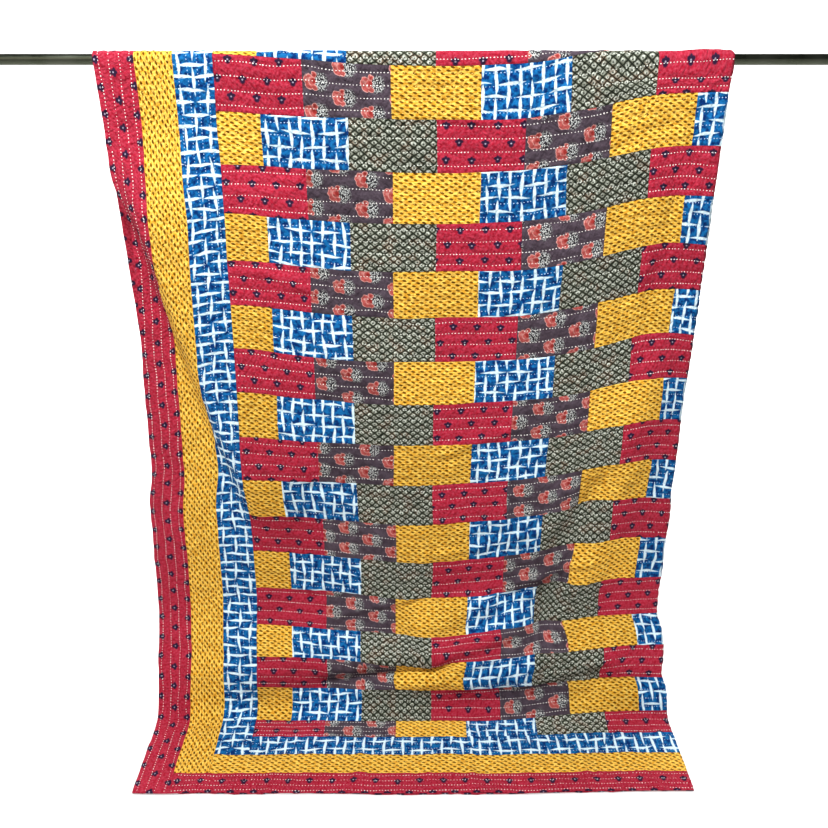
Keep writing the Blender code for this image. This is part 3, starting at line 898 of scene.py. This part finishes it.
def sewLine(group, line, start, end, upright, liftOf, threadOf):
    # each stitch is a spindle: two sunk tips and a raised ring of four points halfway between them
    look = stitchLook
    count = int((end - start) / look["pitch"])
    if count < 1:
        return
    middle = start + (np.arange(count) + 0.5) * look["pitch"]
    middle = middle + stitchRandom.uniform(-look["slip"], look["slip"], count)
    half = look["halfLength"] * stitchRandom.uniform(*look["lengths"], count)
    width = look["halfWidth"] * stitchRandom.uniform(*look["widths"], count)
    width = width * np.where(stitchRandom.uniform(0.0, 1.0, count) < look["thick"], look["thicker"], 1.0)
    kept = stitchRandom.uniform(0.0, 1.0, count) > look["missing"]
    middle, half, width = middle[kept], half[kept], width[kept]
    run = middle[:, None] + half[:, None] * np.array([-1.0, 0.0, 1.0])
    fixed = np.full(run.shape, line)
    a, s = (fixed, run) if upright else (run, fixed)
    shift = lineShift(a, s)
    a, s = (a - shift, s) if upright else (a, s - shift)
    lift = liftOf(a, s) + np.array([-look["sunk"], look["clear"], -look["sunk"]])
    place = drape(a, s, lift)
    first, centre, last = place[:, 0], place[:, 1], place[:, 2]
    probe = 0.001
    out = drape(a[:, 1], s[:, 1], lift[:, 1] + probe) - centre
    up = out / np.linalg.norm(out, axis=-1, keepdims=True) * look["height"]
    side = np.cross(up, last - first)
    side = side / np.linalg.norm(side, axis=-1, keepdims=True) * width[:, None]
    rings = [first, centre + side, centre + up, centre - side, centre - up, last]
    sewn[group].append((np.stack(rings, axis=1), threadOf(a[:, 1])))


def buildStitches(group):
    # four triangles at each tip of each spindle
    points = np.concatenate([rings for rings, _ in sewn[group]])
    thread = np.concatenate([kind for _, kind in sewn[group]])
    ring = [(1 + k, 1 + (k + 1) % 4) for k in range(4)]
    corners = [(0, after, before) for before, after in ring] + [(5, before, after) for before, after in ring]
    base = (np.arange(len(points)) * points.shape[1])[:, None]
    triLoops = (np.array(corners).ravel()[None] + base).ravel()
    name = "quiltingStitches" + group
    mesh = bpy.data.meshes.new(name)
    fillMesh(mesh, points.reshape(-1, 3), np.zeros(0, int), triLoops)
    for material in threads:
        mesh.materials.append(material)
    mesh.polygons.foreach_set("material_index", np.repeat(thread, len(corners)).astype(np.int32))
    mesh.validate()
    mesh.shade_smooth()
    piece = added(name, mesh)
    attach(piece, "root")
    print(name, len(points), "stitches")


threadLook = {"noiseScale": 90.0, "plyScale": 900.0, "plyShares": (0.4, 0.6), "bump": (0.4, 0.0002),
              "roughness": 0.8, "sheen": 0.1}


def threadMaterial(name, light, dark):
    # twisted cotton thread: a fine slanted ply and slow changes of tone
    material, tree, shader = newMaterial(name)
    place = tree.nodes.new("ShaderNodeTexCoord").outputs["Object"]
    noise = tree.nodes.new("ShaderNodeTexNoise")
    noise.inputs["Scale"].default_value = threadLook["noiseScale"]
    ply = tree.nodes.new("ShaderNodeTexWave")
    ply.bands_direction = "DIAGONAL"
    ply.inputs["Scale"].default_value = threadLook["plyScale"]
    for node in (noise, ply):
        tree.links.new(place, node.inputs["Vector"])
    twist = calc(tree, "MULTIPLY_ADD", ply.outputs["Fac"], *threadLook["plyShares"])
    factor = calc(tree, "MULTIPLY", noise.outputs["Fac"], twist)
    tree.links.new(mixed(tree, factor, dark, light), shader.inputs["Base Color"])
    bumped(tree, shader, ply.outputs["Fac"], *threadLook["bump"])
    shader.inputs["Roughness"].default_value = threadLook["roughness"]
    shader.inputs["Sheen Weight"].default_value = threadLook["sheen"]
    return material


threads = [threadMaterial("whiteThread", (0.92, 0.88, 0.84), (0.74, 0.69, 0.64)),
           threadMaterial("goldenThread", (0.86, 0.60, 0.16), (0.62, 0.38, 0.07)),
           threadMaterial("greyThread", (0.84, 0.84, 0.76), (0.56, 0.56, 0.49)),
           threadMaterial("paleBlueThread", (0.56, 0.66, 0.80), (0.30, 0.42, 0.62))]
threadOfPrint = np.array([0, 0, 1, 3, 2])  # in the order of printOrder


def finishPiece(piece, node):
    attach(piece, "root")
    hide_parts(node)


# The rod, a plain round bar with a small bevel at both ends
rodLook = {"radius": 0.0095, "length": 1.60, "bevel": 0.001, "bevelSteps": 5, "sides": 96, "stations": 41,
           "endMargin": 0.02, "sharpFrom": 50, "colour": (0.070, 0.078, 0.052), "worn": (0.115, 0.120, 0.095),
           "brushStretch": 0.03, "brushSize": 0.0006, "smudgeSize": 0.05,
           "roughness": 0.16, "brushRoughness": 0.16, "smudgeRoughness": 0.14}


def rodMaterial():
    # satin steel, brushed lengthwise, with slow smudges of wear
    look = rodLook
    material, tree, shader = newMaterial("satinSteel")
    x, _, z = separated(tree, tree.nodes.new("ShaderNodeTexCoord").outputs["Object"])
    brushed = clouds(tree, calc(tree, "MULTIPLY", x, look["brushStretch"]), z, look["brushSize"])
    smudge = clouds(tree, x, z, look["smudgeSize"])
    roughness = calc(tree, "MULTIPLY_ADD", brushed, look["brushRoughness"], look["roughness"])
    roughness = calc(tree, "MULTIPLY_ADD", smudge, look["smudgeRoughness"], roughness)
    tree.links.new(roughness, shader.inputs["Roughness"])
    tree.links.new(mixed(tree, smudge, look["colour"], look["worn"]), shader.inputs["Base Color"])
    shader.inputs["Metallic"].default_value = 1.0
    return material


def buildRod():
    # rings of the radius along the axis, closed in at both ends by a quarter turn of the bevel
    half, radius, bevel = rodLook["length"] / 2, rodLook["radius"], rodLook["bevel"]
    turn = np.linspace(0.0, math.pi / 2, rodLook["bevelSteps"])
    endX = half - bevel + bevel * np.sin(turn)
    endR = radius - bevel + bevel * np.cos(turn)
    reach = half - bevel - rodLook["endMargin"]
    inner = np.linspace(-reach, reach, rodLook["stations"])
    x = np.concatenate([-endX[::-1], inner, endX])
    r = np.concatenate([endR[::-1], np.full(len(inner), radius), endR])
    angle = np.linspace(0.0, 2 * math.pi, rodLook["sides"], endpoint=False)
    ring = np.stack([np.broadcast_to(x[:, None], (len(x), len(angle))),
                     r[:, None] * np.cos(angle), r[:, None] * np.sin(angle)], axis=-1)
    ids = np.arange(len(x) * len(angle)).reshape(len(x), len(angle))
    nextId = np.roll(ids, -1, axis=1)
    quads = np.stack([ids[:-1], nextId[:-1], nextId[1:], ids[1:]], axis=-1).reshape(-1, 4)
    mesh = bpy.data.meshes.new("hangingRod")
    faces = quads[:, ::-1].tolist() + [ids[0].tolist(), ids[-1, ::-1].tolist()]
    mesh.from_pydata(ring.reshape(-1, 3).tolist(), [], faces)
    mesh.shade_smooth()
    mesh.set_sharp_from_angle(angle=math.radians(rodLook["sharpFrom"]))
    mesh.materials.append(rodMaterial())
    piece = added("hangingRod", mesh)
    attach(piece, "root")
    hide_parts("rod")


buildRod()
print("made the rod")


# The patch rows, numbered from the foot, each a strip of patches sewn side by side
patchLook = {"fine": 0.0067, "rowCell": 0.0043, "backCell": 0.0098, "backRowShare": 0.8, "toneSpread": 0.16,
             "seed": 21, "sewnBehindFromRow": 9, "shiftedPrints": 2}
sewMargin = {"inRow": 0.002, "inStrip": 0.003, "pastFold": 0.02}


def buildPatchRows():
    # rows behind the rod are coarser, and only the lowest rows are sewn on the hidden half
    left, right = sideSeam, quiltWidth - sideSeam
    gap = quilt["seamGap"] / 2
    pastFold = quilt["halfWidth"] + sewMargin["pastFold"]
    for number in range(len(quilt["rowHeights"])):
        low, high = float(rowSeams[number]), float(rowSeams[number + 1])
        fromRod = quilt["rowsInFront"] - 1 - number
        halfShift = fromRod % 2 == 1
        first = sideSeam - (quilt["patchWidth"] / 2 if halfShift else 0.0)
        seams = [first + quilt["patchWidth"] * i for i in range(1, 13)]
        seams = [seam for seam in seams if left + 0.01 < seam < right - 0.01]
        behind = fromRod < -1
        fine = patchLook["backCell"] if behind else patchLook["fine"]
        across = acrossStations(left + gap, right - gap, seams, fine)
        rowCell = patchLook["backCell"] * patchLook["backRowShare"] if behind else patchLook["rowCell"]
        along = stationsBetween([low + gap, high - gap], [rowCell], [low + gap, high - gap])
        spacing = (high - low) / quilting["linesInRow"]
        firstLine = low + spacing / 2

        def liftOf(a, s):
            dip = np.maximum(edgeDip(s, (low, high)), edgeDip(a, [left, right, *seams]))
            lift = quilt["thickness"] / 2 - quilting["seamDip"] * dip
            return outerLift(lift + quiltedLift(a, s, s, spacing, firstLine))

        def printOf(a):
            patch = np.clip(np.floor((a - first) / quilt["patchWidth"]).astype(int), 0, 12)
            shifted = patch + (patchLook["shiftedPrints"] if halfShift else 0)
            return shifted % len(printOrder), patch

        def threadOf(a):
            return threadOfPrint[printOf(a)[0]]

        tones = toneTable(patchLook["seed"] + number, 13, patchLook["toneSpread"])
        group = "Front" if fromRod >= -1 else "Behind"
        for k in range(quilting["linesInRow"]):
            line = firstLine + k * spacing
            sewLine(group, line, left + sewMargin["inRow"], pastFold, False, liftOf, threadOf)
            if fromRod > patchLook["sewnBehindFromRow"]:
                sewLine("Behind", line, pastFold, right - sewMargin["inRow"], False, liftOf, threadOf)
        piece = slabMesh(f"patchRow{number + 1:02d}", across, along, liftOf, [prints[p] for p in printOrder],
                         printOf, tones, False)
        finishPiece(piece, "patchwork_panel")


buildPatchRows()
print("made", len(quilt["rowHeights"]), "patch rows")

# Three rings of border strips: the side strips run past the ones across the foot and the head
borderLook = {"acrossCell": 0.0050, "alongCell": 0.0058, "crestCell": 0.0035, "crestReach": 0.05,
              "behind": 2.2, "toneSpread": 0.06, "seed": 71, "sewnToRow": 10}


def stripCorners(ring, place):
    # the flat strip's two sides and two ends, on the cloth's coordinates
    side, hem = quilt["stripWidth"] * ring, quilt["hemStripWidth"] * ring
    a0, a1, s0, s1 = side, quiltWidth - side, hem, quiltLength - hem
    if place == "left":
        return a0, a0 + quilt["stripWidth"], s0, s1
    if place == "right":
        return a1 - quilt["stripWidth"], a1, s0, s1
    a0, a1 = a0 + quilt["stripWidth"], a1 - quilt["stripWidth"]
    if place == "foot":
        return a0, a1, s0, s0 + quilt["hemStripWidth"]
    s0 = s1 - quilt["hemStripWidth"]
    return a0, a1, s0, s0 + quilt["hemStripWidth"]


def buildBorderStrip(colour, ring, place):
    # every edge but the quilt's own hem is drawn in by half the gap of a seam
    gap, hemEdge = quilt["seamGap"] / 2, 0.001
    upright = place in ("left", "right")
    a0, a1, s0, s1 = stripCorners(ring, place)
    low = [start + (gap if start > hemEdge else 0.0) for start in (a0, s0)]
    wholes = (quiltWidth, quiltLength)
    high = [end - (gap if end < whole - hemEdge else 0.0) for end, whole in zip((a1, s1), wholes)]
    coarse = borderLook["behind"] if place in ("right", "head") else 1.0
    acrossCell = borderLook["acrossCell"] * coarse ** 0.5
    if upright:
        across = stationsBetween([low[0], high[0]], [acrossCell], [low[0], high[0]])
        reach = borderLook["crestReach"]
        marks = [low[1], hang["crest"] - reach, hang["crest"] + reach, high[1]]
        cells = [borderLook["alongCell"] * coarse, borderLook["crestCell"], borderLook["alongCell"] * 2]
        along = stationsBetween(marks, cells, [low[1], high[1]])
    else:
        across = acrossStations(low[0], high[0], [], acrossCell)
        along = stationsBetween([low[1], high[1]], [borderLook["alongCell"]], [low[1], high[1]])
    lines = quilting["linesInStrip"] if upright else quilting["linesInHemStrip"]
    spacing = (quilt["stripWidth"] if upright else quilt["hemStripWidth"]) / lines
    firstLine = (a0 if upright else s0) + spacing / 2

    def liftOf(a, s):
        dip = np.maximum(edgeDip(a, (a0, a1)), edgeDip(s, (s0, s1)))
        lift = quilt["thickness"] / 2 - quilting["seamDip"] * dip
        return outerLift(lift + quiltedLift(a, s, a if upright else s, spacing, firstLine))

    def printOf(a):
        return np.zeros(len(a), int), np.zeros(len(a), int)

    def threadOf(a):
        return np.full(len(a), threadOfPrint[printOrder.index(colour)])

    group = "Front" if place in ("left", "foot") else "Behind"
    for k in range(lines):
        line = firstLine + k * spacing
        if upright:
            end = hang["crest"] if place == "left" else seamAlong(borderLook["sewnToRow"])
            sewLine(group, line, s0 + sewMargin["inStrip"], end, True, liftOf, threadOf)
        else:
            end = quilt["halfWidth"] + sewMargin["pastFold"]
            sewLine(group, line, a0 + sewMargin["inRow"], end, False, liftOf, threadOf)
        if place == "left":
            sewLine("Behind", line, hang["crest"], s1 - sewMargin["inStrip"], True, liftOf, threadOf)
    tones = toneTable(borderLook["seed"] + ring * 4 + len(place), 1, borderLook["toneSpread"])
    name = colour + "Strip" + place.capitalize()
    piece = slabMesh(name, across, along, liftOf, [prints[colour]], printOf, tones, upright)
    finishPiece(piece, f"{colour}_strip_{place}")


for ringNumber, ringColour in enumerate(("red", "yellow", "blue")):
    for stripPlace in ("left", "right", "foot", "head"):
        buildBorderStrip(ringColour, ringNumber, stripPlace)
print("made the border strips")
for stitchGroup in sewn:
    buildStitches(stitchGroup)

# A plain pale floor that sweeps up behind, and soft studio light
studio = {"floor": (0.52, 0.52, 0.52), "glow": 0.42, "roughness": 0.9, "overhead": 0.08, "horizon": 0.75,
          "horizonEdge": (0.14, 0.16), "floorGap": 0.0004, "sweepStart": 3.2, "sweepRadius": 1.6,
          "sweepSteps": 25, "wallTop": 7.0, "reach": 14.0, "front": -9.0}
# Softboxes: name, power, place, size, tint and what they point at
softboxes = (
    ("topSoftbox", 150.0, (-0.40, -1.35, 2.30), 0.8, (0.93, 0.98, 1.0), (0.0, -0.1, -0.75)),
    ("keySoftbox", 15.0, (-1.5, -2.6, 1.3), 1.8, (1.0, 0.94, 0.86), (0.0, -0.1, -0.75)),
    ("wallSoftbox", 520.0, (0.0, 2.4, 2.8), 3.5, (1.0, 1.0, 1.0), (0.0, 4.8, 0.7)),
)


def buildSweep():
    # the floor's profile: level, a quarter turn, then upright
    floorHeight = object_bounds()[0][2] - studio["floorGap"]
    turn = np.linspace(0.0, math.pi / 2, studio["sweepSteps"])
    y = np.concatenate([[studio["front"]], studio["sweepStart"] + studio["sweepRadius"] * np.sin(turn)])
    z = np.concatenate([[0.0], studio["sweepRadius"] * (1.0 - np.cos(turn))])
    y, z = np.append(y, y[-1]), np.append(z, studio["wallTop"]) + floorHeight
    points = [(side * studio["reach"], b, c) for b, c in zip(y, z) for side in (-1, 1)]
    faces = [(2 * i, 2 * i + 1, 2 * i + 3, 2 * i + 2) for i in range(len(y) - 1)]
    mesh = bpy.data.meshes.new("paleSweep")
    mesh.from_pydata(points, [], faces)
    mesh.shade_smooth()
    material, _, shader = newMaterial("paleSweep")
    shader.inputs["Base Color"].default_value = (*studio["floor"], 1.0)
    shader.inputs["Roughness"].default_value = studio["roughness"]
    shader.inputs["Emission Color"].default_value = (1.0, 1.0, 1.0, 1.0)
    shader.inputs["Emission Strength"].default_value = studio["glow"]
    mesh.materials.append(material)
    sweep = added("paleSweep", mesh)


def buildStudio():
    buildSweep()
    world = bpy.data.worlds.new("paleStudio")
    world.use_nodes = True
    tree = world.node_tree
    direction = separated(tree, tree.nodes.new("ShaderNodeTexCoord").outputs["Generated"])
    fade = within(tree, direction[2], *studio["horizonEdge"])
    glow = calc(tree, "MULTIPLY_ADD", fade, studio["horizon"] - studio["overhead"], studio["overhead"])
    tree.nodes["Background"].inputs["Color"].default_value = (1.0, 1.0, 1.0, 1.0)
    tree.links.new(glow, tree.nodes["Background"].inputs["Strength"])
    bpy.context.scene.world = world
    for name, power, place, size, tint, target in softboxes:
        lightData = bpy.data.lights.new(name, "AREA")
        lightData.energy = power
        lightData.size = size
        lightData.color = tint
        light = added(name, lightData)
        light.location = place
        aim = np.array(target) - np.array(place)
        light.rotation_euler = (math.atan2(math.hypot(aim[0], aim[1]), -aim[2]), 0.0,
                                math.atan2(aim[1], aim[0]) - math.pi / 2)
    bpy.context.scene.view_settings.view_transform = "Standard"
    bpy.context.scene.view_settings.look = "Medium High Contrast"


buildStudio()
print("made the studio")

meshes = [p.data for p in bpy.context.scene.objects if p.type == "MESH"]
counts = [len(mesh.loops) - 2 * len(mesh.polygons) for mesh in meshes]
print("triangles", sum(counts), "most in one piece", max(counts))
